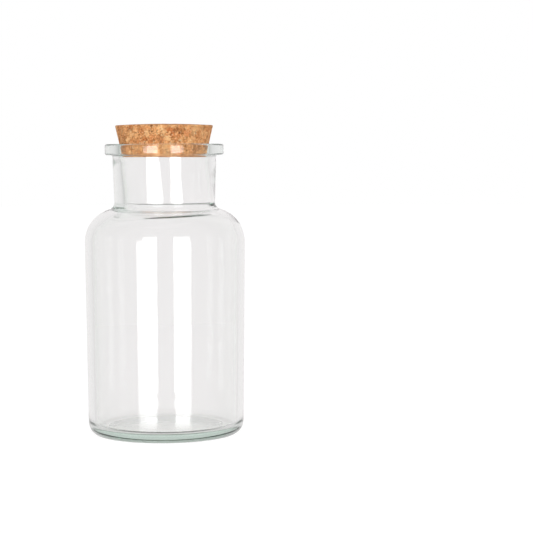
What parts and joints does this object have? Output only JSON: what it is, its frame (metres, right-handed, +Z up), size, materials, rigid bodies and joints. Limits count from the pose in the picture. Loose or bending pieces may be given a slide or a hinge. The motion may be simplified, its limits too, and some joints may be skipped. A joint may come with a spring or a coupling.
{
  "type": "apothecary jar",
  "caption": "Clear round wide-mouthed glass jar with a flat lip, straight neck and rounded shoulder, closed by a tapered pressed-cork stopper that lifts out.",
  "frame": {"origin": "centre of the standing ring, on the surface that the jar stands on", "axes": "+Z up along the jar's axis, out of its mouth; the jar is round about Z, so X and Y are free"},
  "size_m": [0.066, 0.066, 0.1278],
  "materials": {
    "clear_glass": "polished",
    "pressed_cork": "matt, ground"
  },
  "bodies": {
    "jar": {"glass_jar": "clear_glass"},
    "stopper": {"cork_stopper": "pressed_cork"}
  },
  "joints": [
    {"name": "stopper_lift", "type": "slide", "parent": "jar", "child": "stopper", "axis": [0, 0, 1], "range_m": [0, 0.05]}
  ]
}
